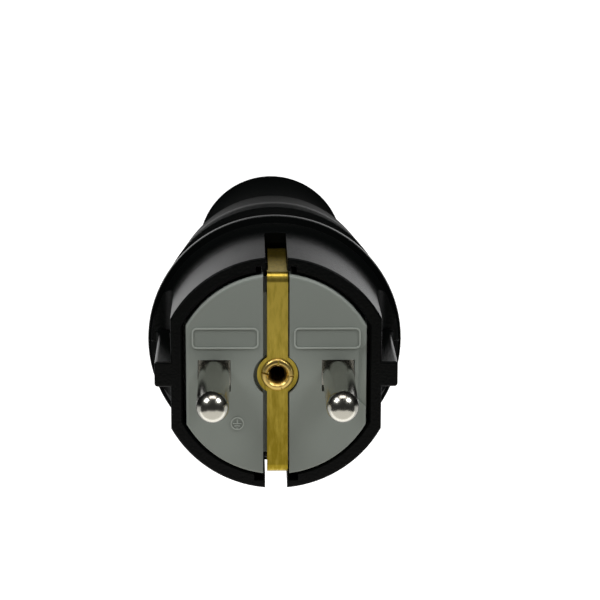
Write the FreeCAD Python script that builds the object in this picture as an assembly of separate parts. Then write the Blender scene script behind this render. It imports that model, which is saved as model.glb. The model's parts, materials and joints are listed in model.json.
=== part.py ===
import FreeCAD, Part
import math
import os

from FreeCAD import Placement, Rotation, Vector

# A straight rewirable type F plug with no cord fitted. All sizes are millimetres.
# While a piece is made, Y runs along the plug: the contact pins point to -Y and the cord leaves
# to +Y. X is to the right as seen from the pins, Z is up, and Y = 0 is the rim of the nose.
# At the end the plug is stood on its tail, on the plane Z = 0, with its pins up.
# A rise, drop or step is a radial distance from the size it is added to or taken from.

# Contact pins: a round pin, a square shank in the insert, a collar and a terminal pillar
pin_diameter = 4.8
pin_length = 19.0
pin_spacing = 19.0
pin_recess = 1.7
pin_neck_step = 0.3
pin_neck_length = 0.3
shank_step = 0.1
collar_step = 1.7
collar_length = 1.5
pillar_length = 13.5
pillar_chamfer = 0.35
wire_bore = 3.0
wire_bore_depth = 8.5

# From the pins outwards: walls and gaps of the insert and of the nose around it
insert_side_wall = 1.0
flat_gap = 0.62
flat_wall = 1.78
flat_cut = 2.2
rim_wall = 2.1
insert_gap = 0.45
seat_gap = 0.12

# Nose of the housing, with a key rib on each of its two flats
nose_depth = 15.5
nose_edge = 0.35
key_rise = 2.5
key_height = 4.0
key_edge = 0.5
flat_cove = 4.0
rim_chamfer = 0.2

# Outline of the housing behind the nose: flange, groove, grip, waist and bulb
cove_radius = 8.0
flange_slope = 32.0
flange_rise = 2.17
flange_edge = 1.2
groove_length = 5.7
groove_drop = 0.2
groove_bend = 2.5
shoulder_length = 6.2
shoulder_rise = 1.02
shoulder_bend = 3.0
grip_length = 22.5
grip_end_drop = 1.45
grip_end_slope = 9.5
grip_end_bend = 80.0
waist_slope = 13.3
waist_drop = 5.5
waist_bend = 22.0
bulb_length = 14.5
bulb_drop = 4.65
bulb_bend = 10.0
tail_face_radius = 8.6
tail_edge = 1.0
tail_straight = 0.5
wall = 2.2
tail_wall = 5.0
bulb_end_drop = 1.5
parting_gap = 0.03

# Insert: its face stands a little out of the rim, and a collar holds it in the shells
insert_proud = 0.8
insert_depth = 12.8
insert_edge = 0.4
insert_collar_setback = 1.8
insert_collar_length = 2.2
insert_collar_step = 1.1
retainer_thickness = 2.5
retainer_inset = 0.6
ledge_step = 2.7
ledge_gap = 0.3

# Earth strip in its channel, with its hollow rivet
strip_width = 3.2
strip_thickness = 0.9
strip_sink = 0.8
strip_offset = 0.2
strip_leg_gap = 0.4
strip_leg_narrowing = 0.18
strip_leg_start = 2.4
strip_bend = 1.4
strip_disc_step = 1.55
channel_play = 0.85
channel_circle_play = 0.75
channel_web_step = 3.2
slot_play = 0.2
slot_length = 17.15
slot_recess_length = 2.3
slot_recess_drop = 1.45
slot_floor_gap = 0.3
slot_back_wall = 1.2
strip_end_gap = 0.3
notch_land = 0.5
notch_width = 0.9
notch_rise = 0.65
lower_notch_land = 0.2
lower_notch_width = 1.5
lower_notch_rise = 0.8
notch_depth = 4.0
rivet_bore = 2.35
rivet_wall = 0.35
rivet_crown_step = 1.375
rivet_crown_height = 0.55
rivet_head_height = 0.8
rivet_clearance = 0.05

# Cracks in the rivet's crown: angle, then the share of the crown's width where each begins
# and ends, then its width at both ends
rivet_cracks = (
    (86.0, -0.1, 0.8, 0.5, 0.12),
    (171.0, -0.1, 1.2, 0.5, 0.1),
    (-5.0, 0.5, 1.2, 0.1, 0.3),
    (-74.0, 0.6, 1.2, 0.1, 0.3),
)

# Raised frames, earth mark and side land on the face of the insert
frame_channel_gap = 0.68
frame_side_gap = 0.9
frame_pin_gap = 1.85
frame_height = 3.3
frame_line = 0.24
frame_rise = 0.14
frame_corner = 0.8
mark_place = 6.0
mark_drop = 7.6
mark_diameter = 2.05
mark_line = 0.17
mark_rise = 0.12
land_width = 1.2
land_half_height = 5.1
land_sink = 0.4

# Earth terminal behind the insert
terminal_width = 8.0
terminal_thickness = 1.0
terminal_top = 3.6
terminal_drop = 8.5
terminal_length = 11.0
terminal_bend = 1.6
earth_screw_place = 6.5
earth_washer_thickness = 0.8
earth_washer_step = 1.85

# Screws: shank diameter, shank length, head diameter, head height
terminal_screw = (3.0, 2.9, 4.6, 1.6)
earth_screw = (3.5, 5.0, 6.4, 2.2)
clamp_screw = (3.0, 8.0, 5.2, 1.9)
front_shell_screw = (3.0, 17.0, 5.8, 2.2)
rear_shell_screw = (2.6, 11.0, 4.6, 1.8)
screw_slot = 0.7
screw_clearance = 0.15
terminal_screw_place = 4.6
terminal_screw_lift = 0.4

# Shell screws, their bosses, and the cord clamp
boss_wall = 1.5
front_boss_inset = 7.0
front_boss_place = 7.5
front_head_sink = 0.5
rear_boss_inset = 5.15
rear_boss_place = 2.0
rear_head_sink = 1.5
cord_play = 1.4
cord_mouth = 1.2
clamp_place = 10.5
clamp_width = 6.0
clamp_thickness = 1.7
clamp_side_gap = 0.1
clamp_end = 2.6
clamp_post_wall = 1.1
clamp_post_drop = 0.6
saddle_thickness = 3.0

SEAM_ANGLE = 62.0

SIDES = ((-1, "left"), (1, "right"))

shank_width = pin_diameter + shank_step
collar_width = shank_width + collar_step
insert_flat = (pin_spacing + collar_width) / 2 + insert_side_wall
opening_flat = insert_flat + flat_gap
nose_flat = opening_flat + flat_wall
nose_radius = nose_flat + flat_cut
opening_radius = nose_radius - rim_wall
insert_radius = opening_radius - insert_gap
key_reach = nose_flat + key_rise
ledge_flat = (pin_spacing + shank_width) / 2 + ledge_gap

insert_face = -insert_proud
insert_back = insert_face + insert_depth
insert_collar_back = insert_back - insert_collar_setback
insert_collar_front = insert_collar_back - insert_collar_length
pin_tip = insert_face - pin_length
pin_neck = insert_face - pin_neck_length
pin_seat = insert_face + pin_recess
collar_front = insert_back - collar_length
pillar_end = insert_back + pillar_length
retainer_back = insert_back + retainer_thickness
terminal_screw_y = pillar_end - terminal_screw_place

strip_front = insert_face + strip_sink
strip_back = strip_front + strip_thickness
strip_leg_reach = opening_radius - strip_leg_gap
slot_width = strip_width + slot_play
slot_back = slot_length + slot_recess_length
strip_leg_end = slot_back - strip_end_gap
slot_recess_top = nose_radius - slot_recess_drop
slot_floor = strip_leg_reach - strip_thickness - slot_floor_gap
channel_width = strip_width + channel_play
strip_disc_diameter = strip_width + 2 * strip_disc_step
channel_circle_diameter = strip_disc_diameter + channel_circle_play
channel_web_reach = strip_leg_reach - channel_web_step
rivet_shank = rivet_bore + 2 * rivet_wall
rivet_crown = rivet_bore + 2 * rivet_crown_step
frame_near = channel_width / 2 + frame_channel_gap
frame_far = insert_flat - frame_side_gap
frame_low = shank_width / 2 + frame_pin_gap
frame_high = frame_low + frame_height
mark_x = -mark_place
mark_z = -mark_drop
earth_screw_y = retainer_back + earth_screw_place
earth_washer_diameter = earth_screw[0] + 2 * earth_washer_step
chamber_start = slot_back + slot_back_wall

flange_radius = nose_radius + flange_rise
groove_radius = nose_radius - groove_drop
shoulder_radius = nose_radius + shoulder_rise
grip_end_radius = nose_radius - grip_end_drop
waist_radius = nose_radius - waist_drop
bulb_radius = nose_radius - bulb_drop


def block(x0, x1, y0, y1, z0, z1):
    """A box between three pairs of planes."""
    return Part.makeBox(x1 - x0, y1 - y0, z1 - z0, Vector(x0, y0, z0))


def rod(diameter, y0, y1, x=0.0, z=0.0):
    """A cylinder along the plug."""
    return Part.makeCylinder(diameter / 2, y1 - y0, Vector(x, y0, z), Vector(0, 1, 0))


def post(diameter, z0, z1, x, y):
    """A cylinder across the plug, along Z."""
    return Part.makeCylinder(diameter / 2, z1 - z0, Vector(x, y, z0), Vector(0, 0, 1))


def flatted(flat, radius, y0, y1):
    """A rod with two vertical flats, like the nose."""
    slab = block(-flat, flat, y0, y1, -radius - 1, radius + 1)
    return rod(2 * radius, y0, y1).common(slab)


def square_bar(width, y0, y1, x=0.0):
    """A square bar along the plug."""
    return block(x - width / 2, x + width / 2, y0, y1, -width / 2, width / 2)


def edges_at(shape, y, reach=1e9):
    """The edges of a shape that lie in one plane across the plug, up to a distance from X = 0."""
    found = []
    for edge in shape.Edges:
        box = edge.BoundBox
        flat = abs(box.YMin - y) < 1e-4 and abs(box.YMax - y) < 1e-4
        if flat and max(abs(box.XMin), abs(box.XMax)) < reach:
            found.append(edge)
    return found


def bend(y, r, slope, radius):
    """One bend of an outline as its centre and radius.

    The outline passes (y, r) at this slope. The radius is negative where the outline is hollow.
    """
    a = math.radians(slope)
    return (y + radius * math.sin(a), r - radius * math.cos(a), radius)


def normals_between(bends):
    """The outward normals of the straight lines that join each bend to the next."""
    normals = []
    for (y1, r1, q1), (y2, r2, q2) in zip(bends, bends[1:]):
        dy = y2 - y1
        dr = r2 - r1
        span = math.hypot(dy, dr)
        along = (q1 - q2) / span
        across = math.sqrt(1 - along * along)
        normals.append(((along * dy - across * dr) / span, (along * dr + across * dy) / span))
    return normals


def spun(face):
    """A face beside the Y axis spun into a solid, with its seam well away from the parting plane."""
    solid = face.revolve(Vector(0, 0, 0), Vector(0, 1, 0), 360)
    solid.rotate(Vector(0, 0, 0), Vector(0, 1, 0), -SEAM_ANGLE)
    return solid


def turned(bends, start, end):
    """A solid of revolution whose outline runs level from start, through the bends, to end."""
    normals = [(0.0, 1.0)] + normals_between(bends) + [(1.0, 0.0)]
    points = [Vector(0, start, 0), Vector(bends[0][1] + bends[0][2], start, 0)]
    edges = [Part.LineSegment(points[0], points[1]).toShape()]
    last = points[1]
    for (y, r, q), before, after in zip(bends, normals, normals[1:]):
        middle = (before[0] + after[0], before[1] + after[1])
        length = math.hypot(*middle)
        arc = []
        for ny, nr in (before, (middle[0] / length, middle[1] / length), after):
            arc.append(Vector(r + q * nr, y + q * ny, 0))
        edges.append(Part.LineSegment(last, arc[0]).toShape())
        edges.append(Part.Arc(*arc).toShape())
        last = arc[2]
    edges.append(Part.LineSegment(last, Vector(0, end, 0)).toShape())
    edges.append(Part.LineSegment(Vector(0, end, 0), points[0]).toShape())
    return spun(Part.Face(Part.Wire(edges)))


def next_place(first, radius, bend_radius, slope):
    """Where the next bend's centre lies along Y, so that a line of this slope joins the two."""
    y, r, q = first
    a = math.radians(slope)
    return y + ((radius - r) * math.cos(a) - (q - bend_radius)) / math.sin(a)


def outline():
    """The bends of the housing's outline from the nose to the tail, and its full length."""
    cove = (nose_depth, nose_radius + cove_radius, -cove_radius)
    crest = flange_radius - flange_edge
    flange = (next_place(cove, crest, flange_edge, flange_slope), crest, flange_edge)
    groove = bend(flange[0] + groove_length, groove_radius, 0, -groove_bend)
    shoulder = bend(groove[0] + shoulder_length, shoulder_radius, 0, shoulder_bend)
    grip_end_place = shoulder[0] + grip_length
    grip_end = bend(grip_end_place, grip_end_radius, -grip_end_slope, grip_end_bend)
    hollow_radius = waist_radius + waist_bend
    waist_place = next_place(grip_end, hollow_radius, -waist_bend, -waist_slope)
    waist = (waist_place, hollow_radius, -waist_bend)
    bulb = bend(waist_place + bulb_length, bulb_radius, 0, bulb_bend)
    across = tail_face_radius - bulb[1]
    between = (bulb_bend - tail_edge) ** 2 + tail_straight ** 2 - across ** 2
    tail = (bulb[0] + math.sqrt(between), tail_face_radius, tail_edge)
    bends = [cove, flange, groove, shoulder, grip_end, waist, bulb, tail]
    return bends, grip_end_place, tail[0] + tail_edge


BENDS, grip_end_place, body_length = outline()
flange_place, groove_place, shoulder_place = (row[0] for row in BENDS[1:4])
waist_place, bulb_place = (row[0] for row in BENDS[5:7])
flat_end = flange_place - flange_edge
flat_end_reach = nose_flat + flat_cove
clamp_y = waist_place - clamp_place
clamp_screw_x = waist_radius - wall - clamp_end
clamp_arch = clamp_screw_x - clamp_screw[2] / 2 - clamp_side_gap - clamp_thickness
clamp_post_top = -clamp_post_drop
cord_bore = 2 * clamp_arch + cord_play


def outer_body():
    """The housing as one closed solid: turned outside, two flats and two key ribs."""
    body = turned(BENDS, 0, body_length)
    for side, _ in SIDES:
        body = body.cut(flat_cutter(side, nose_flat))
    for side, _ in SIDES:
        body = body.fuse(key_rib(side))
    body = body.removeSplitter()
    return body.makeFillet(nose_edge, edges_at(body, 0))


def flat_cutter(side, flat):
    """What lies beside a flat along the nose, which sweeps out into the flange in a cove."""
    cove = flat_end_reach - flat
    start = flat_end - cove
    far = flange_radius + flat_cove
    low = -flange_radius - 1
    corner = cove * (1 - math.sqrt(0.5))
    points = [
        Vector(side * far, -1, low),
        Vector(side * flat, -1, low),
        Vector(side * flat, start, low),
        Vector(side * (flat + corner), flat_end - corner, low),
        Vector(side * flat_end_reach, flat_end, low),
        Vector(side * far, flat_end, low),
    ]
    edges = [
        Part.LineSegment(points[0], points[1]).toShape(),
        Part.LineSegment(points[1], points[2]).toShape(),
        Part.Arc(points[2], points[3], points[4]).toShape(),
        Part.LineSegment(points[4], points[5]).toShape(),
        Part.LineSegment(points[5], points[0]).toShape(),
    ]
    return Part.Face(Part.Wire(edges)).extrude(Vector(0, 0, -2 * low))


def key_rib(side):
    """A key rib on one flat, from the rim back into the flange."""
    half = key_height / 2
    near = nose_flat - flat_wall / 2
    far = flange_radius - flange_edge
    rib = block(near, far, 0, flat_end + flange_edge / 4, -half, half)
    rib = rib.cut(flat_cutter(1, key_reach))
    long_edges = []
    for edge in rib.Edges:
        box = edge.BoundBox
        if box.XMin > key_reach - 1e-4 and box.XLength < 1e-4 and box.YLength > 1:
            long_edges.append(edge)
    rib = rib.makeFillet(key_edge, long_edges)
    if side < 0:
        rib = rib.mirror(Vector(0, 0, 0), Vector(1, 0, 0))
    return rib


def slot_cutters():
    """The slots at top and bottom that show the legs of the earth strip, with their notches."""
    half = slot_width / 2
    cutters = []
    notches = (
        (1, notch_land, notch_width, notch_rise),
        (-1, lower_notch_land, lower_notch_width, lower_notch_rise),
    )
    for up, land, width, rise in notches:
        low, high = sorted((up * slot_floor, up * (flange_radius + 1)))
        cutters.append(block(-half, half, -1, slot_length, low, high))
        low, high = sorted((up * slot_floor, up * slot_recess_top))
        cutters.append(block(-half, half, -1, slot_back, low, high))
        for side, _ in SIDES:
            x0, x1 = sorted((side * (half + land), side * (half + land + width)))
            z0, z1 = sorted((up * slot_floor, up * (opening_radius + rise)))
            cutters.append(block(x0, x1, -1, notch_depth, z0, z1))
    return cutters


def inside(inset, end):
    """The room in the housing behind the ledge, with straight walls at an inset from its outline."""
    rows = (
        (chamber_start, groove_radius),
        (groove_place + groove_bend / 2, groove_radius),
        (shoulder_place, shoulder_radius),
        (grip_end_place, grip_end_radius),
        (waist_place - waist_bend / 8, waist_radius),
        (waist_place + waist_bend / 8, waist_radius),
        (bulb_place - bulb_bend / 3, bulb_radius),
        (bulb_place, bulb_radius),
        (end, bulb_radius - bulb_end_drop),
    )
    points = [Vector(0, chamber_start, 0)]
    points += [Vector(radius - inset, y, 0) for y, radius in rows]
    points += [Vector(0, end, 0), points[0]]
    return spun(Part.Face(Part.makePolygon(points)))


def hollow():
    """Everything inside the housing, as a list of solids to take away."""
    ledge_front = retainer_back + seat_gap
    step = insert_collar_step + seat_gap
    groove_front = insert_collar_front - seat_gap
    groove_back = insert_collar_back + seat_gap
    mouth = Part.makeCone(
        cord_bore / 2,
        cord_bore / 2 + 2 * cord_mouth,
        2 * cord_mouth,
        Vector(0, body_length - cord_mouth, 0),
        Vector(0, 1, 0),
    )
    return [
        flatted(opening_flat, opening_radius, -1, ledge_front),
        flatted(insert_flat + step, insert_radius + step, groove_front, groove_back),
        flatted(ledge_flat, opening_radius - ledge_step, 0, chamber_start + 0.1),
        inside(wall, body_length - tail_wall),
        rod(cord_bore, body_length - tail_wall - 1, body_length + 1),
        mouth,
    ]


def half_space(up):
    """The side of the parting plane that one shell fills."""
    far = flange_radius + 5
    z0, z1 = sorted((up * parting_gap / 2, up * far))
    return block(-far, far, -5, body_length + 5, z0, z1)


def boss_core(up):
    """The inside of one half of the housing, reaching half way into its wall."""
    return inside(wall / 2, body_length - tail_wall / 2).common(half_space(up))


def half_shell(up, body, bosses, holes):
    """One half of the housing with its own bosses and holes."""
    shell = body.common(half_space(up))
    core = boss_core(up)
    for boss in bosses:
        shell = shell.fuse(boss.common(core))
    for hole in holes:
        shell = shell.cut(hole)
    return shell.removeSplitter()


def shell_fixings():
    """Name, X, Y, depth of the head's seat and sizes of each of the four shell screws."""
    front_y = shoulder_place + front_boss_place
    rear_y = bulb_place - rear_boss_place
    rows = (
        ("front", shoulder_radius, front_boss_inset, front_y, front_head_sink, front_shell_screw),
        ("rear", bulb_radius, rear_boss_inset, rear_y, rear_head_sink, rear_shell_screw),
    )
    fixings = []
    for row, radius, inset, y, sink, sizes in rows:
        x = radius - inset
        edge = x + sizes[2] / 2 + screw_clearance
        seat = math.sqrt(radius * radius - edge * edge) - sizes[3] - sink
        for side, word in SIDES:
            fixings.append((row + "_" + word + "_shell_screw", side * x, y, seat, sizes))
    return fixings


def plain_shell(body):
    """The half above the pins: blind bosses that the shell screws bite into."""
    far = flange_radius
    bosses = []
    holes = []
    for _, x, y, seat, (shank, length, _, _) in shell_fixings():
        hole = shank + 2 * screw_clearance
        bosses.append(post(hole + 2 * boss_wall, 0, far, x, y))
        holes.append(post(hole, -1, length - seat + boss_wall / 2, x, y))
    return half_shell(1, body, bosses, holes)


def screw_shell(body):
    """The half below the pins: bosses with sunk screw heads, clamp posts and the cord saddle."""
    far = flange_radius
    bosses = []
    holes = []
    for _, x, y, seat, (shank, _, head, _) in shell_fixings():
        hole = shank + 2 * screw_clearance
        sunk = head + 2 * screw_clearance
        bosses.append(post(hole + 2 * boss_wall, -far, 0, x, y))
        bosses.append(post(sunk + 2 * boss_wall, -far, boss_wall - seat, x, y))
        holes.append(post(hole, -far, 1, x, y))
        holes.append(post(sunk, -far, -seat, x, y))
    shank, length = clamp_screw[:2]
    hole = shank + 2 * screw_clearance
    bottom = clamp_post_top + clamp_thickness - length - boss_wall / 2
    for side, _ in SIDES:
        x = side * clamp_screw_x
        bosses.append(post(hole + 2 * clamp_post_wall, -far, clamp_post_top, x, clamp_y))
        holes.append(post(hole, bottom, 1, x, clamp_y))
    y0 = clamp_y - saddle_thickness / 2
    y1 = clamp_y + saddle_thickness / 2
    reach = clamp_screw_x - hole / 2 - clamp_post_wall / 2
    bosses.append(block(-reach, reach, y0, y1, -far, clamp_post_top))
    holes.append(rod(2 * clamp_arch, y0 - 1, y1 + 1, 0, clamp_post_top))
    return half_shell(-1, body, bosses, holes)


def contact_pin(side):
    """Round pin with a domed tip and a thin neck, square shank, collar and terminal pillar."""
    radius = pin_diameter / 2
    dome = Part.makeSphere(radius, Vector(0, pin_tip + radius, 0))
    pin = rod(pin_diameter, pin_tip + radius, pin_neck).fuse(dome)
    pin = pin.fuse(rod(pin_diameter - 2 * pin_neck_step, pin_neck - 0.01, pin_seat + 0.01))
    pin = pin.fuse(square_bar(shank_width, pin_seat, collar_front + 0.01))
    pin = pin.fuse(square_bar(collar_width, collar_front, insert_back))
    pillar = square_bar(shank_width, insert_back - 0.01, pillar_end)
    pillar = pillar.makeChamfer(pillar_chamfer, edges_at(pillar, pillar_end))
    pin = pin.fuse(pillar).removeSplitter()
    pin = pin.cut(rod(wire_bore, pillar_end - wire_bore_depth, pillar_end + 1))
    hole = terminal_screw[0] + 2 * screw_clearance
    pin = pin.cut(post(hole, 0, shank_width, 0, terminal_screw_y))
    pin.translate(Vector(side * pin_spacing / 2, 0, 0))
    return pin


def screw(sizes):
    """A slotted screw along Z, its head resting on Z = 0 and its shank below."""
    shank, length, head, height = sizes
    piece = post(shank, -length, 0.01, 0, 0)
    cap = post(head, 0, height, 0, 0)
    rim = [edge for edge in cap.Edges if edge.BoundBox.ZMin > height - 1e-4]
    cap = cap.makeChamfer(height / 5, rim)
    piece = piece.fuse(cap).removeSplitter()
    half = screw_slot / 2
    return piece.cut(block(-head, head, -half, half, height * 0.5, height + 1))


def placed_screw(sizes, x, y, z, flip=False):
    """A screw set with the underside of its head at a point, head up or head down."""
    piece = screw(sizes)
    if flip:
        piece.rotate(Vector(0, 0, 0), Vector(1, 0, 0), 180)
    piece.translate(Vector(x, y, z))
    return piece


def rivet_hole(y):
    """The hole for the rivet, from the face of the insert to a little behind y."""
    return rod(rivet_shank + 2 * rivet_clearance, insert_face - 1, y + 1, strip_offset)


def face_insert():
    """The grey insert: holes for the pins, the strip's channel, frames, mark and side land."""
    insert = flatted(insert_flat, insert_radius, insert_face, insert_back)
    insert = insert.makeFillet(insert_edge, edges_at(insert, insert_face))
    collar = flatted(
        insert_flat + insert_collar_step,
        insert_radius + insert_collar_step,
        insert_collar_front,
        insert_collar_back,
    )
    insert = insert.fuse(collar)
    half = channel_width / 2
    far = insert_radius + insert_collar_step + 1
    insert = insert.cut(block(-half, half, insert_face - 1, strip_back, -far, far))
    insert = insert.cut(rod(channel_circle_diameter, insert_face - 1, strip_back))
    for up in (-1, 1):
        z0, z1 = sorted((up * channel_web_reach, up * far))
        insert = insert.cut(block(-half, half, insert_face - 1, insert_back + 1, z0, z1))
    insert = insert.cut(rivet_hole(insert_back))
    for side, _ in SIDES:
        x = side * pin_spacing / 2
        insert = insert.cut(square_bar(shank_width + seat_gap, insert_face - 1, insert_back + 1, x))
        insert = insert.cut(square_bar(collar_width + seat_gap, collar_front, insert_back + 1, x))
        insert = insert.fuse(label_frame(side))
    insert = insert.cut(side_land())
    for piece in earth_mark():
        insert = insert.fuse(piece)
    return insert.removeSplitter()


def label_frame(side):
    """A thin raised frame with round corners on the face of the insert, left bare inside."""
    width = frame_far - frame_near
    height = frame_high - frame_low
    y0 = insert_face - frame_rise
    y1 = insert_face + frame_rise

    def plate(inset):
        x = frame_near + inset
        plate = block(x, x + width - 2 * inset, y0, y1, frame_low + inset, frame_high - inset)
        corners = [edge for edge in plate.Edges if edge.BoundBox.YLength > frame_rise]
        return plate.makeFillet(frame_corner - inset, corners)

    frame = plate(0).cut(plate(frame_line))
    if side < 0:
        frame = frame.mirror(Vector(0, 0, 0), Vector(1, 0, 0))
    return frame


def earth_mark():
    """The general earth symbol in a circle, raised on the face of the insert."""
    y0 = insert_face - mark_rise
    y1 = insert_face + mark_rise
    ring = rod(mark_diameter, y0, y1, mark_x, mark_z)
    ring = ring.cut(rod(mark_diameter - 2 * mark_line, y0 - 1, y1 + 1, mark_x, mark_z))
    half = mark_line / 2
    step = mark_diameter * 0.17
    pieces = [ring, block(mark_x - half, mark_x + half, y0, y1, mark_z, mark_z + 2 * step)]
    for row, share in enumerate((0.33, 0.22, 0.11)):
        z = mark_z - row * step
        reach = mark_diameter * share
        pieces.append(block(mark_x - reach, mark_x + reach, y0, y1, z - half, z + half))
    return pieces


def side_land():
    """A shallow land along the right edge of the insert, with slanted ends."""
    near = insert_flat - land_width
    far = insert_flat + 1
    points = [
        Vector(near, insert_face - 1, -land_half_height + land_width),
        Vector(far, insert_face - 1, -land_half_height - 1),
        Vector(far, insert_face - 1, land_half_height + 1),
        Vector(near, insert_face - 1, land_half_height - land_width),
        Vector(near, insert_face - 1, -land_half_height + land_width),
    ]
    return Part.Face(Part.makePolygon(points)).extrude(Vector(0, 1 + land_sink, 0))


def pin_retainer():
    """The plate behind the insert that traps the collars of the pins."""
    flat = insert_flat - retainer_inset
    radius = strip_leg_reach - strip_thickness - seat_gap
    plate = flatted(flat, radius, insert_back, retainer_back)
    plate = plate.cut(rivet_hole(retainer_back))
    for side, _ in SIDES:
        x = side * pin_spacing / 2
        plate = plate.cut(square_bar(shank_width + seat_gap, insert_back - 1, retainer_back + 1, x))
    return plate


def bent_strip(y0, reach, radius, y1):
    """A bar across the face with two round corners, from y0 back to y1."""
    half = strip_width / 2
    bar = block(-half, half, y0, y1, -reach, reach)
    corners = []
    for edge in bar.Edges:
        box = edge.BoundBox
        if box.XLength > half and box.YMax < y0 + 1e-4:
            corners.append(edge)
    return bar.makeFillet(radius, corners)


def earth_strip():
    """One brass strip across the face, bent back at top and bottom, with a disc for the rivet."""
    reach = strip_leg_reach
    strip = bent_strip(strip_front, reach, strip_bend, strip_leg_end)
    inner = strip_bend - strip_thickness
    strip = strip.cut(bent_strip(strip_back, reach - strip_thickness, inner, strip_leg_end + 1))
    near = strip_width / 2 - strip_leg_narrowing
    for side, _ in SIDES:
        x0, x1 = sorted((side * near, side * strip_width))
        start = strip_front + strip_leg_start
        strip = strip.cut(block(x0, x1, start, strip_leg_end + 1, -reach - 1, reach + 1))
    strip = strip.fuse(rod(strip_disc_diameter, strip_front, strip_back)).removeSplitter()
    strip.translate(Vector(strip_offset, 0, 0))
    return strip.cut(rivet_hole(strip_back))


def earth_rivet():
    """A hollow rivet: its rolled crown is split in four where it was spread over the strip."""
    bore = rivet_bore / 2
    shank = rivet_shank / 2
    crown = rivet_crown / 2
    top = strip_front - rivet_crown_height
    back = retainer_back + terminal_thickness
    end = back + rivet_head_height
    crest = (bore + crown) / 2 - 0.1

    def at(r, y):
        return Vector(r, y, 0)

    edges = [
        Part.LineSegment(at(bore, end), at(bore, strip_back)).toShape(),
        Part.Arc(at(bore, strip_back), at(bore + 0.18, strip_front), at(crest, top)).toShape(),
        Part.Arc(at(crest, top), at(crown - 0.2, top + 0.16), at(crown, strip_front - 0.1)).toShape(),
        Part.LineSegment(at(crown, strip_front - 0.1), at(crown - 0.1, strip_front)).toShape(),
        Part.LineSegment(at(crown - 0.1, strip_front), at(shank, strip_front)).toShape(),
        Part.LineSegment(at(shank, strip_front), at(shank, back)).toShape(),
        Part.LineSegment(at(shank, back), at(crown, back)).toShape(),
        Part.LineSegment(at(crown, back), at(crown, end)).toShape(),
        Part.LineSegment(at(crown, end), at(bore, end)).toShape(),
    ]
    rivet = Part.Face(Part.Wire(edges)).revolve(Vector(0, 0, 0), Vector(0, 1, 0), 360)
    for angle, first, last, width, end_width in rivet_cracks:
        near = bore + first * (crown - bore)
        beyond = bore + last * (crown - bore)
        corners = (
            (near, width / 2),
            (beyond, end_width / 2),
            (beyond, -end_width / 2),
            (near, -width / 2),
            (near, width / 2),
        )
        points = [Vector(x, top - 1, z) for x, z in corners]
        crack = Part.Face(Part.makePolygon(points)).extrude(Vector(0, strip_front - top + 1, 0))
        crack.rotate(Vector(0, 0, 0), Vector(0, 1, 0), -angle)
        rivet = rivet.cut(crack)
    rivet.translate(Vector(strip_offset, 0, 0))
    return rivet


def earth_terminal():
    """A brass angle under the rivet's rear head, with a tapped tab for the earth screw."""
    half = terminal_width / 2
    front = retainer_back
    back = front + terminal_thickness
    end = front + terminal_length
    low = -terminal_drop
    angle = block(-half, half, front, end, low, terminal_top)
    corner = [edge for edge in edges_at(angle, front) if edge.BoundBox.ZMax < low + 1e-4]
    angle = angle.makeFillet(terminal_bend, corner)
    room = block(-half - 1, half + 1, back, end + 1, low + terminal_thickness, terminal_top + 1)
    angle = angle.cut(room)
    angle = angle.cut(rivet_hole(back))
    hole = earth_screw[0] + 2 * screw_clearance
    return angle.cut(post(hole, low - 1, low + terminal_thickness + 1, 0, earth_screw_y))


def earth_washer():
    """The washer that clamps the earth wire to the tab."""
    z = -terminal_drop + terminal_thickness
    ring = post(earth_washer_diameter, z, z + earth_washer_thickness, 0, earth_screw_y)
    return ring.cut(post(earth_screw[0] + 2 * screw_clearance, z - 1, z + 2, 0, earth_screw_y))


def cord_clamp():
    """A pressed strap: two flat ends and an arch over the cord."""
    y0 = clamp_y - clamp_width / 2
    y1 = clamp_y + clamp_width / 2
    reach = clamp_screw_x + clamp_end
    z = clamp_post_top
    strap = block(-reach, reach, y0, y1, z, z + clamp_thickness)
    ends = [edge for edge in strap.Edges if edge.BoundBox.ZLength > clamp_thickness / 2]
    strap = strap.makeFillet(clamp_width / 4, ends)
    arch = rod(2 * (clamp_arch + clamp_thickness), y0, y1, 0, z)
    arch = arch.common(block(-reach, reach, y0, y1, z, z + 2 * clamp_arch + clamp_thickness))
    strap = strap.fuse(arch).cut(rod(2 * clamp_arch, y0 - 1, y1 + 1, 0, z))
    for side, _ in SIDES:
        x = side * clamp_screw_x
        strap = strap.cut(post(clamp_screw[0] + 2 * screw_clearance, z - 1, z + 3, x, clamp_y))
    return strap.removeSplitter()


def chamfered_rim(shell):
    """A shell with the inner edge of its rim broken by a small chamfer."""
    edges = []
    for edge in edges_at(shell, 0):
        middle = edge.valueAt((edge.FirstParameter + edge.LastParameter) / 2)
        radius = math.hypot(middle.x, middle.z)
        on_arc = abs(radius - opening_radius) < 1e-3
        on_flat = abs(abs(middle.x) - opening_flat) < 1e-3
        if on_arc or on_flat:
            edges.append(edge)
    return shell.makeChamfer(rim_chamfer, edges)


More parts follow.
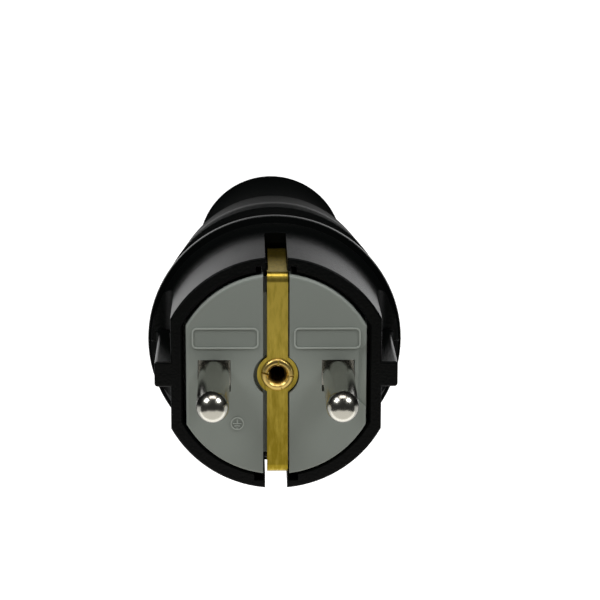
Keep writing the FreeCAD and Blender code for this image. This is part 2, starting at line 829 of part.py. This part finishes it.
def all_pieces():
    """Every piece of the plug by name, in the plug's own frame."""
    body = outer_body()
    for solid in hollow() + slot_cutters():
        body = body.cut(solid)
    pieces = {
        "plain_shell": chamfered_rim(plain_shell(body)),
        "screw_shell": chamfered_rim(screw_shell(body)),
        "face_insert": face_insert(),
        "pin_retainer": pin_retainer(),
        "earth_strip": earth_strip(),
        "earth_rivet": earth_rivet(),
        "earth_terminal": earth_terminal(),
        "earth_washer": earth_washer(),
        "cord_clamp": cord_clamp(),
    }
    for side, word in SIDES:
        pieces[word + "_pin"] = contact_pin(side)
        x = side * pin_spacing / 2
        z = shank_width / 2 + terminal_screw_lift
        pieces[word + "_terminal_screw"] = placed_screw(terminal_screw, x, terminal_screw_y, z)
        z = clamp_post_top + clamp_thickness
        pieces[word + "_clamp_screw"] = placed_screw(clamp_screw, side * clamp_screw_x, clamp_y, z)
    z = -terminal_drop + terminal_thickness + earth_washer_thickness
    pieces["earth_screw"] = placed_screw(earth_screw, 0, earth_screw_y, z)
    for name, x, y, seat, sizes in shell_fixings():
        pieces[name] = placed_screw(sizes, x, y, -seat, flip=True)
    return pieces


def main():
    """Make the pieces and stand the plug on its tail, with its pins up."""
    os.makedirs("parts", exist_ok=True)
    standing = Placement(Vector(0, 0, body_length), Rotation(Vector(1, 0, 0), -90))
    for name, shape in all_pieces().items():
        shape.Placement = standing.multiply(shape.Placement)
        shape.exportStep("parts/" + name + ".step")


main()
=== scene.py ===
import json
import math

import bpy
from mathutils import Matrix, Vector

# The looks of a type F plug that stands on its tail with its pins up. Lengths are metres.
# In the plug's own frame Y = 0 is the rim of its nose, the pins point to -Y and the strip runs
# along Z. The camera and the lamps are placed in that frame.

BODY_LENGTH = 0.0995708

# The insert's face, and the band above it in which its raised lines turn paler as a painted
# highlight
INSERT_FACE = BODY_LENGTH + 0.0008
LINE_RISE = 0.00012
LINE_HIGHLIGHT_BAND = (0.3 * LINE_RISE, 0.9 * LINE_RISE)

# The land along the flange's crest, with the soft edges of what is shaded as land
CREST_HEIGHT = BODY_LENGTH - 0.0212
CREST_EDGE = (0.0014, 0.0016)
CREST_RADIUS = (0.0196, 0.0197)

# The front of the grip is shaded as if it leaned towards the pins. Where the lean builds up and
# where it ends, as heights, and how far it leans
LEAN_BEGINS = (BODY_LENGTH - 0.0445, BODY_LENGTH - 0.0385)
LEAN_ENDS = (BODY_LENGTH - 0.031, BODY_LENGTH - 0.029)
LEAN = 0.35

# Colours, and the roughness of the housing and of its crest
BLACK = (0.0021, 0.0026, 0.0025)
BLACK_ROUGH = 0.3
CREST_ROUGH = 0.15
GREY = (0.28, 0.31, 0.282)
# A paler grey painted on the insert's raised lines as a highlight
LINE_HIGHLIGHT_GREY = (0.44, 0.48, 0.44)
DARK_GREY = (0.05, 0.05, 0.05)
NICKEL = (0.54, 0.53, 0.475)
BRASS = (0.5, 0.36, 0.1)
DULL_BRASS = (0.34, 0.25, 0.022)
PALE_BRASS = (0.74, 0.57, 0.1)
RIVET_BRASS = (0.72, 0.53, 0.17)
STEEL = (0.55, 0.55, 0.53)

# The grain of the brass runs along the strip, and the strip gets paler from one end to the other
BRASS_GRAIN = (2.2, 0.5, 1)
BRASS_PALES = (-0.016, 0.012)
BRASS_PALING = 0.25

# The floor: its size, its place under the plug, and its colour to the camera and to all else
FLOOR_REACH = 6.0
FLOOR_DROP = 0.0001
FLOOR_COLOR = (0.85, 0.85, 0.85)
FLOOR_UNSEEN = (0.005, 0.005, 0.005)
FLOOR_ROUGH = 0.9
FLOOR_LIFT = 0.9

# A painted reflection: the floor glows in a bright ring round the plug, but only in reflections.
# Where the ring begins and ends, and its brightness towards the strip's ends and towards the
# plug's sides
RING_INNER = (0.021, 0.045)
RING_OUTER = (0.042, 0.072)
RING_TOP = 0.84
RING_SIDE = 1.75

# The painted reflection of the floor beyond the ring, which shows in the screwed half of the
# housing
FAR_BEGINS = (0.08, 0.13)
FAR_SIDE = (-0.06, -0.01)
FAR_LEVEL = 0.75

# The lamps, in the plug's own frame: name, place, target, size, power and colour
WORLD_LEVEL = 0.03
WHITE = (1, 1, 1)
LAMPS = (
    ("left", (-0.42, -0.2, 0.5), (0, -0.01, 0), (0.27, 0.24), 1.9, WHITE),
    ("right", (0.42, -0.2, 0.5), (0, -0.01, 0), (0.27, 0.24), 1.9, WHITE),
    ("top", (0, -0.06, 0.62), (0, 0, 0), (0.4, 0.2), 0.8, (1, 0.93, 0.9)),
    ("table", (0, -0.3, -0.2), (0, -0.3, 0), (0.8, 0.8), 1.9, (1, 0.97, 0.92)),
)

# The camera, in the plug's own frame: it looks at the pins from a little above
CAMERA_DISTANCE = 0.350
CAMERA_ELEVATION = math.radians(13.69)
CAMERA_YAW = math.radians(1.3)
CAMERA_ROLL = math.radians(-0.2)
CAMERA_SHIFT_X = -0.00361
CAMERA_SHIFT_Z = -0.01143
CAMERA_LENS = 136.84
CAMERA_SENSOR = 36
CAMERA_CLIP = (0.01, 10)

# The Mix node's sockets for each kind of value: first, second and result
MIX_SOCKETS = {"VECTOR": (4, 5, 1), "RGBA": (6, 7, 2)}

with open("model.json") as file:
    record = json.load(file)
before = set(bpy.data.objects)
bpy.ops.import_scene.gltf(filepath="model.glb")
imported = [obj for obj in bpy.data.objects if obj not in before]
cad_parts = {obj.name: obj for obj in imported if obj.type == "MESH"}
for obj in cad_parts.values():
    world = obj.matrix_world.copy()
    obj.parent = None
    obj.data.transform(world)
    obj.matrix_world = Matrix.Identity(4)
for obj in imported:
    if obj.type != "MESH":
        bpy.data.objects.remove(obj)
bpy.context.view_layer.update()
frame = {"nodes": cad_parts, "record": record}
NODES = frame["nodes"]


def standing():
    """The matrix that stands the plug's own frame on its tail."""
    return Matrix.Translation((0, 0, BODY_LENGTH)) @ Matrix.Rotation(-math.pi / 2, 4, "X")


def make_camera():
    """The camera, from distance, elevation, yaw and roll about the rim's centre."""
    data = bpy.data.cameras.new("camera")
    data.lens = CAMERA_LENS
    data.sensor_width = CAMERA_SENSOR
    data.clip_start, data.clip_end = CAMERA_CLIP
    camera = bpy.data.objects.new("camera", data)
    bpy.context.scene.collection.objects.link(camera)
    unyaw = Matrix.Rotation(-CAMERA_YAW, 3, "Z")
    rise = math.sin(CAMERA_ELEVATION)
    level = math.cos(CAMERA_ELEVATION)
    right = unyaw @ Vector((1, 0, 0))
    up = unyaw @ Vector((0, rise, level))
    ahead = unyaw @ Vector((0, level, -rise))
    place = -CAMERA_DISTANCE * ahead - CAMERA_SHIFT_X * right - CAMERA_SHIFT_Z * up
    across = right * math.cos(CAMERA_ROLL) - up * math.sin(CAMERA_ROLL)
    above = right * math.sin(CAMERA_ROLL) + up * math.cos(CAMERA_ROLL)
    turn = Matrix((across, above, -ahead)).transposed().to_4x4()
    camera.matrix_world = standing() @ Matrix.Translation(place) @ turn
    bpy.context.scene.camera = camera


def material(name, color, rough, metal=0.0, specular=0.5):
    """A material with a principled shader. Returns both."""
    made = bpy.data.materials.new(name)
    made.use_nodes = True
    shader = made.node_tree.nodes["Principled BSDF"]
    shader.inputs["Base Color"].default_value = (*color, 1)
    shader.inputs["Roughness"].default_value = rough
    shader.inputs["Metallic"].default_value = metal
    shader.inputs["Specular IOR Level"].default_value = specular
    return made, shader


def feed(tree, socket, value):
    """Links a socket to another one, or gives it a plain value."""
    if isinstance(value, bpy.types.NodeSocket):
        tree.links.new(value, socket)
    elif value is not None:
        socket.default_value = value


def calc(tree, operation, first, second=None):
    """One step of arithmetic on sockets or plain numbers."""
    node = tree.nodes.new("ShaderNodeMath")
    node.operation = operation
    feed(tree, node.inputs[0], first)
    feed(tree, node.inputs[1], second)
    return node.outputs["Value"]


def vector_calc(tree, operation, first, second=None, result="Vector"):
    """One step of arithmetic on vectors. Returns the socket that result names."""
    node = tree.nodes.new("ShaderNodeVectorMath")
    node.operation = operation
    feed(tree, node.inputs[0], first)
    feed(tree, node.inputs[1], second)
    return node.outputs[result]


def smooth_step(tree, value, span, low, high):
    """A smooth change of level while a value passes through a span."""
    step = tree.nodes.new("ShaderNodeMapRange")
    step.interpolation_type = "SMOOTHSTEP"
    step.inputs["From Min"].default_value, step.inputs["From Max"].default_value = span
    step.inputs["To Min"].default_value = low
    step.inputs["To Max"].default_value = high
    tree.links.new(value, step.inputs["Value"])
    return step.outputs["Result"]


def mix(tree, kind, factor, first, second):
    """A mix of two vectors or of two colours."""
    node = tree.nodes.new("ShaderNodeMix")
    node.data_type = kind
    first_socket, second_socket, result = MIX_SOCKETS[kind]
    tree.links.new(factor, node.inputs["Factor"])
    feed(tree, node.inputs[first_socket], first)
    feed(tree, node.inputs[second_socket], second)
    return node.outputs[result]


def place_of(tree):
    """The shaded point's own place: the socket of its vector and those of X, Y and Z."""
    place = tree.nodes.new("ShaderNodeTexCoord").outputs["Object"]
    apart = tree.nodes.new("ShaderNodeSeparateXYZ")
    tree.links.new(place, apart.inputs["Vector"])
    return place, apart.outputs


def noise(tree, scale, detail, stretch=(1, 1, 1)):
    """A noise pattern in metres. Returns the socket with its value."""
    place = tree.nodes.new("ShaderNodeTexCoord").outputs["Object"]
    mapping = tree.nodes.new("ShaderNodeMapping")
    mapping.inputs["Scale"].default_value = stretch
    pattern = tree.nodes.new("ShaderNodeTexNoise")
    pattern.inputs["Scale"].default_value = scale
    pattern.inputs["Detail"].default_value = detail
    tree.links.new(place, mapping.inputs["Vector"])
    tree.links.new(mapping.outputs["Vector"], pattern.inputs["Vector"])
    return pattern.outputs["Fac"]


def bump(tree, shader, height, strength, distance):
    """A bump from a pattern. Returns its node."""
    node = tree.nodes.new("ShaderNodeBump")
    node.inputs["Strength"].default_value = strength
    node.inputs["Distance"].default_value = distance
    tree.links.new(height, node.inputs["Height"])
    tree.links.new(node.outputs["Normal"], shader.inputs["Normal"])
    return node


def tint(tree, shader, value, span, low, high):
    """A base colour that goes from one colour to another while a value passes through a span."""
    node = tree.nodes.new("ShaderNodeValToRGB")
    for stop, position, color in zip(node.color_ramp.elements, span, (low, high)):
        stop.position = position
        stop.color = (*color, 1)
    tree.links.new(value, node.inputs["Fac"])
    tree.links.new(node.outputs["Color"], shader.inputs["Base Color"])


def on_crest(tree):
    """A socket that is 1 on the flange's crest and 0 elsewhere, and one with the way outward."""
    place, parts = place_of(tree)
    flat = vector_calc(tree, "MULTIPLY", place, (1, 1, 0))
    radius = vector_calc(tree, "LENGTH", flat, result="Value")
    off = calc(tree, "ABSOLUTE", calc(tree, "SUBTRACT", parts["Z"], CREST_HEIGHT))
    near = smooth_step(tree, off, CREST_EDGE, 1.0, 0.0)
    far_out = smooth_step(tree, radius, CREST_RADIUS, 0.0, 1.0)
    return calc(tree, "MULTIPLY", near, far_out), vector_calc(tree, "NORMALIZE", flat)


def lean(tree):
    """What is added to the normal on the front of the grip."""
    parts = place_of(tree)[1]
    begins = smooth_step(tree, parts["Z"], LEAN_BEGINS, 0.0, LEAN)
    ends = smooth_step(tree, parts["Z"], LEAN_ENDS, 1.0, 0.0)
    added = tree.nodes.new("ShaderNodeCombineXYZ")
    tree.links.new(calc(tree, "MULTIPLY", begins, ends), added.inputs["Z"])
    return added.outputs["Vector"]


def black_plastic():
    """Black plastic with a fine grain, smoother and facing straight out on the flange's crest."""
    made, shader = material("black_plastic", BLACK, BLACK_ROUGH, specular=0.1)
    tree = made.node_tree
    grain = bump(tree, shader, noise(tree, 2600, 4), 0.5, 0.0001)
    crest, outward = on_crest(tree)
    shape = tree.nodes.new("ShaderNodeNewGeometry").outputs["Normal"]
    turned = vector_calc(tree, "ADD", mix(tree, "VECTOR", crest, shape, outward), lean(tree))
    tree.links.new(vector_calc(tree, "NORMALIZE", turned), grain.inputs["Normal"])
    rough = smooth_step(tree, crest, (0.0, 1.0), BLACK_ROUGH, CREST_ROUGH)
    tree.links.new(rough, shader.inputs["Roughness"])
    return made


def grey_plastic():
    """Smooth grey plastic, with a painted highlight in a paler grey on the raised lines of the
    insert's face.
    """
    made, shader = material("grey_plastic", GREY, 0.5, specular=0.35)
    tree = made.node_tree
    bump(tree, shader, noise(tree, 1800, 3), 0.15, 0.00005)
    rise = calc(tree, "SUBTRACT", place_of(tree)[1]["Z"], INSERT_FACE)
    # Painted highlight: the raised lines turn paler
    line_highlight = smooth_step(tree, rise, LINE_HIGHLIGHT_BAND, 0.0, 1.0)
    tint(tree, shader, line_highlight, (0.0, 1.0), GREY, LINE_HIGHLIGHT_GREY)
    return made


def dark_plastic():
    return material("dark_plastic", DARK_GREY, 0.5)[0]


def nickel():
    made, shader = material("nickel", NICKEL, 0.22, 1.0)
    tree = made.node_tree
    bump(tree, shader, noise(tree, 900, 3), 0.08, 0.00005)
    return made


def strip_brass():
    """Rolled brass with a fine grain along the strip, brighter and paler towards one end."""
    made, shader = material("strip_brass", BRASS, 0.36, 1.0)
    tree = made.node_tree
    grain = noise(tree, 900, 4, BRASS_GRAIN)
    along = place_of(tree)[1]["Y"]
    paling = smooth_step(tree, along, BRASS_PALES, -BRASS_PALING, BRASS_PALING)
    tint(tree, shader, calc(tree, "ADD", grain, paling), (0.2, 0.8), DULL_BRASS, PALE_BRASS)
    return made


def rivet_brass():
    return material("rivet_brass", RIVET_BRASS, 0.32, 1.0)[0]


def screw_steel():
    return material("screw_steel", STEEL, 0.3, 1.0)[0]


def dress():
    """Every node takes the material of its slot."""
    makers = {
        "housing": black_plastic,
        "insert": grey_plastic,
        "retainer": dark_plastic,
        "nickel": nickel,
        "strip_brass": strip_brass,
        "rivet_brass": rivet_brass,
        "screw_steel": screw_steel,
    }
    made = {name: make() for name, make in makers.items()}
    for row in frame["record"]["subparts"]:
        node = NODES[row["node"]]
        for slot in node.material_slots:
            slot.link = "OBJECT"
            slot.material = made[row["material_slot"]]


def area_light(name, place, target, size, power, color):
    """A soft lamp, placed and aimed in the plug's own frame."""
    data = bpy.data.lights.new(name, "AREA")
    data.shape = "RECTANGLE"
    data.size, data.size_y = size
    data.energy = power
    data.color = color
    lamp = bpy.data.objects.new(name, data)
    bpy.context.scene.collection.objects.link(lamp)
    turn = (Vector(target) - Vector(place)).to_track_quat("-Z", "Y").to_matrix().to_4x4()
    lamp.matrix_world = standing() @ Matrix.Translation(place) @ turn


def painted_reflection_level(tree):
    """How bright the floor glows in reflections, a painted reflection: a ring round the plug, and
    the floor far from it.
    """
    place, parts = place_of(tree)
    far = vector_calc(tree, "LENGTH", place, result="Value")
    inner = smooth_step(tree, far, RING_INNER, 0.0, 1.0)
    outer = smooth_step(tree, far, RING_OUTER, 1.0, 0.0)
    aside = calc(tree, "DIVIDE", calc(tree, "ABSOLUTE", parts["X"]), far)
    sides = smooth_step(tree, aside, (0.0, 1.0), RING_TOP, RING_SIDE)
    ring = calc(tree, "MULTIPLY", calc(tree, "MULTIPLY", inner, outer), sides)
    beyond = smooth_step(tree, far, FAR_BEGINS, 0.0, 1.0)
    below = smooth_step(tree, parts["Y"], FAR_SIDE, FAR_LEVEL, 0.0)
    return calc(tree, "ADD", ring, calc(tree, "MULTIPLY", beyond, below))


def floor_material():
    """White to the camera, dark to light that it would throw back, and glowing in reflections as a
    painted reflection.
    """
    made, shader = material("floor", FLOOR_COLOR, FLOOR_ROUGH, specular=0.0)
    tree = made.node_tree
    path = tree.nodes.new("ShaderNodeLightPath")
    seen = path.outputs["Is Camera Ray"]
    # Painted reflection: the floor glows only in reflections
    painted_reflection = calc(tree, "MULTIPLY", path.outputs["Is Glossy Ray"], painted_reflection_level(tree))
    glow = calc(tree, "ADD", calc(tree, "MULTIPLY", seen, FLOOR_LIFT), painted_reflection)
    tree.links.new(glow, shader.inputs["Emission Strength"])
    shader.inputs["Emission Color"].default_value = (*WHITE, 1)
    shade = mix(tree, "RGBA", seen, (*FLOOR_UNSEEN, 1), (*FLOOR_COLOR, 1))
    tree.links.new(shade, shader.inputs["Base Color"])
    return made


def make_floor():
    """A white floor that keeps the plug's shadow."""
    mesh = bpy.data.meshes.new("floor")
    reach = FLOOR_REACH
    corners = [(-reach, -reach, 0), (reach, -reach, 0), (reach, reach, 0), (-reach, reach, 0)]
    mesh.from_pydata(corners, [], [(0, 1, 2, 3)])
    floor = bpy.data.objects.new("floor", mesh)
    bpy.context.scene.collection.objects.link(floor)
    floor.location.z = -FLOOR_DROP
    floor.data.materials.append(floor_material())


def make_light():
    """A dim white world and the lamps."""
    world = bpy.data.worlds.new("studio")
    world.use_nodes = True
    background = world.node_tree.nodes["Background"]
    background.inputs["Color"].default_value = (*WHITE, 1)
    background.inputs["Strength"].default_value = WORLD_LEVEL
    bpy.context.scene.world = world
    for row in LAMPS:
        area_light(*row)


dress()
make_floor()
make_light()
make_camera()
bpy.context.scene.view_settings.view_transform = "Standard"
